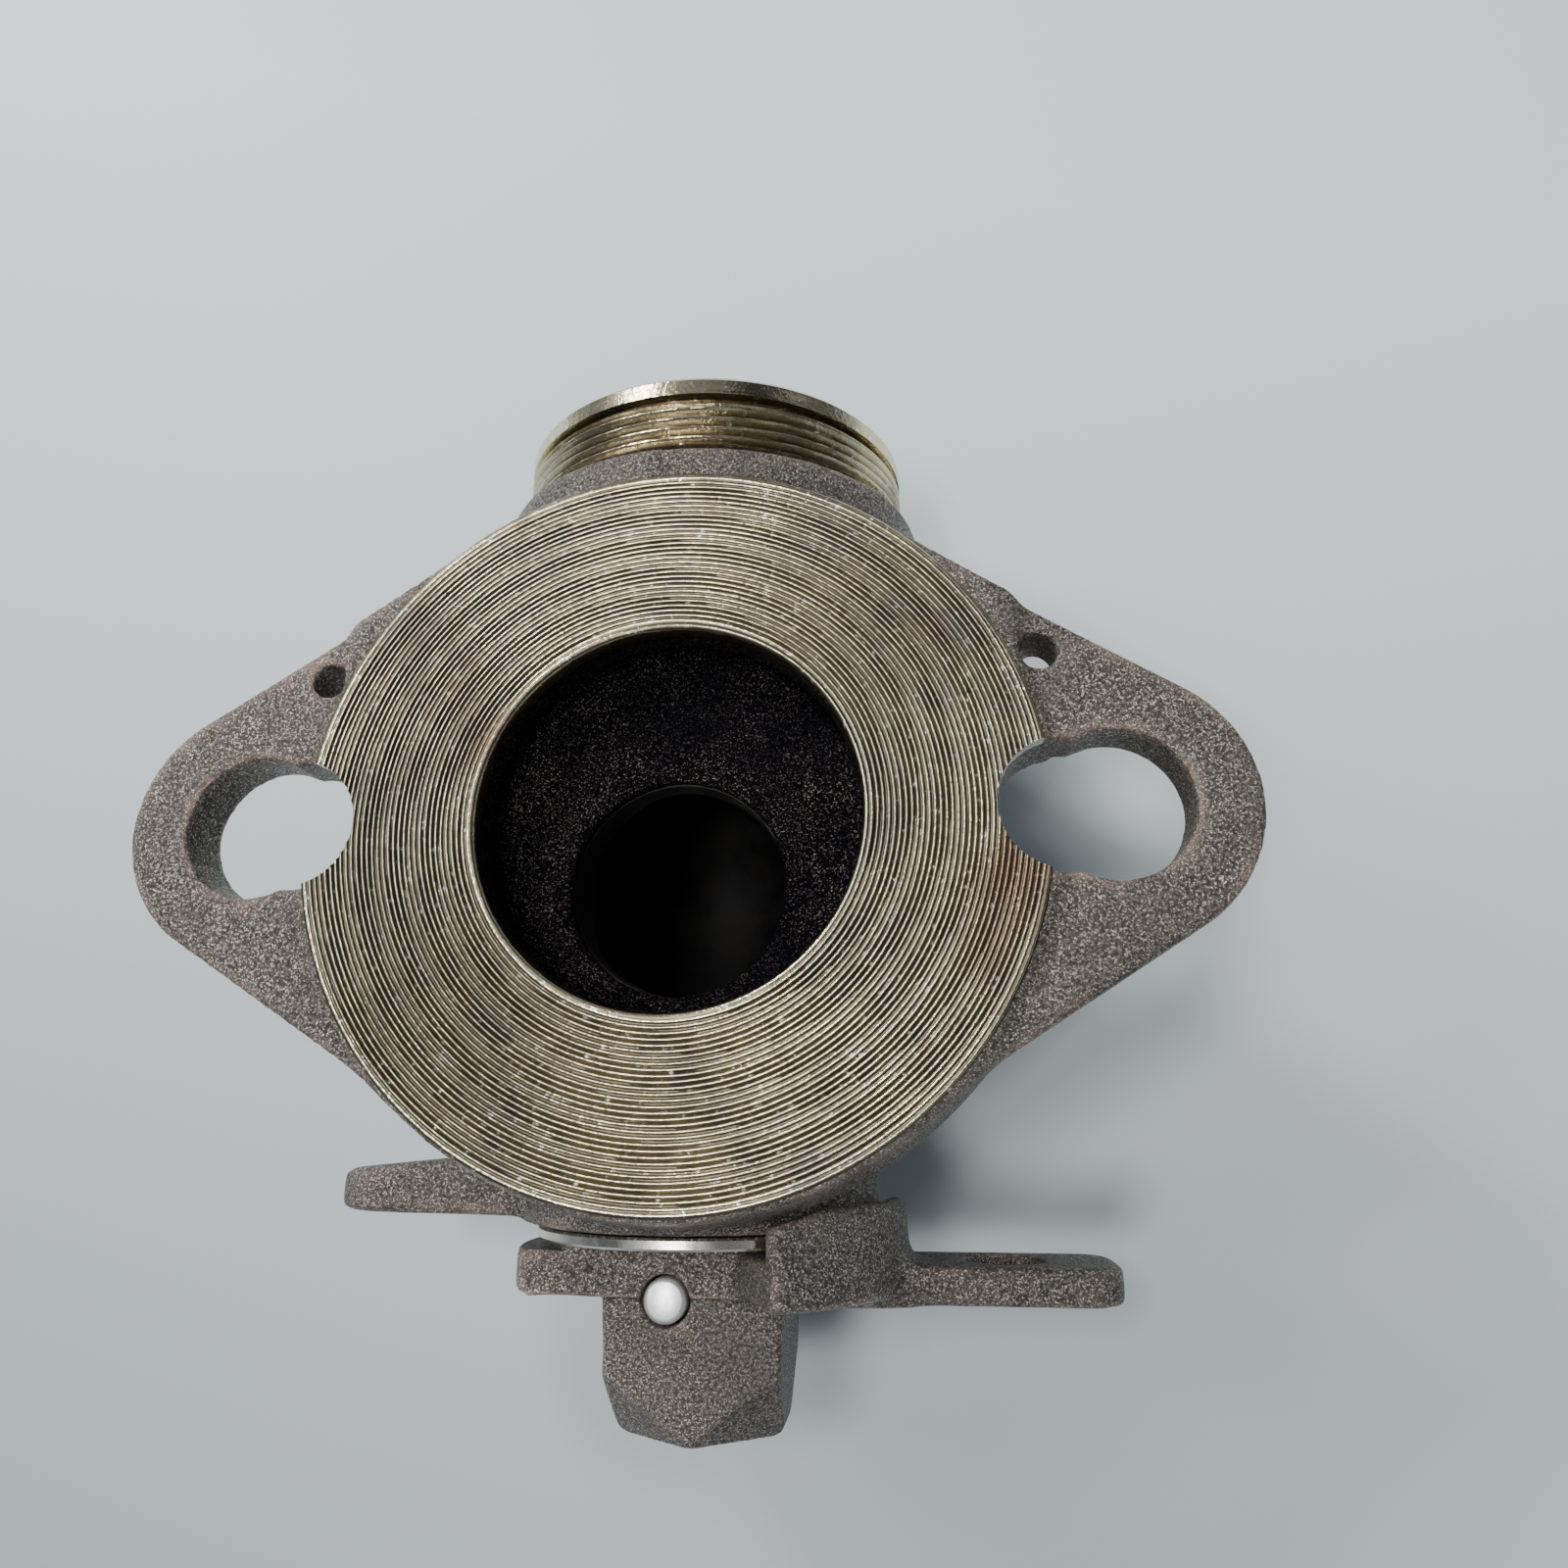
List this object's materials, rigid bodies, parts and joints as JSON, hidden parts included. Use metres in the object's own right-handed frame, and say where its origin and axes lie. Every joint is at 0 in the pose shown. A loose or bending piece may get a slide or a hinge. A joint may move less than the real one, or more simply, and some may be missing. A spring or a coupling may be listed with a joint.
{
  "type": "angle meter valve",
  "caption": "Right-angle water meter valve: bronze casting with an oval bolt flange, threaded inlet, and a plug turned by a tee-head cap with padlock wings.",
  "frame": {"origin": "centre of the raised outlet face, on the axis of the outlet bore", "axes": "+Z is the outlet face's outward normal, +X runs along the two bolt ears towards the cap's padlock wing, +Y runs along the stem axis towards the inlet"},
  "size_m": [0.1502, 0.1466, 0.0692],
  "materials": {
    "cast_bronze": "dark, grainy as-cast skin",
    "machined_bronze": "turned, slightly tarnished",
    "polished_ring": "bright and smooth",
    "zinc_steel": "bright zinc",
    "black_rubber": "satin",
    "white_plastic": "matte"
  },
  "bodies": {
    "casing": {"valve_body": "cast_bronze", "plug_retainer": "machined_bronze", "retainer_oring": "black_rubber", "outlet_seat": "black_rubber"},
    "closure": {"plug": "machined_bronze", "plug_oring_front": "black_rubber", "plug_oring_back": "black_rubber", "stem": "machined_bronze", "stem_oring_inner": "black_rubber", "stem_oring_outer": "black_rubber", "stem_thrust_washer": "white_plastic", "cap_washer": "polished_ring", "tee_cap": "cast_bronze", "drive_pin": "zinc_steel"}
  },
  "joints": [
    {"name": "stem_turn", "type": "hinge", "parent": "casing", "child": "closure", "pos_m": [0, -0.06, -0.0346], "axis": [0, 1, 0], "range_deg": [0, 180]}
  ]
}
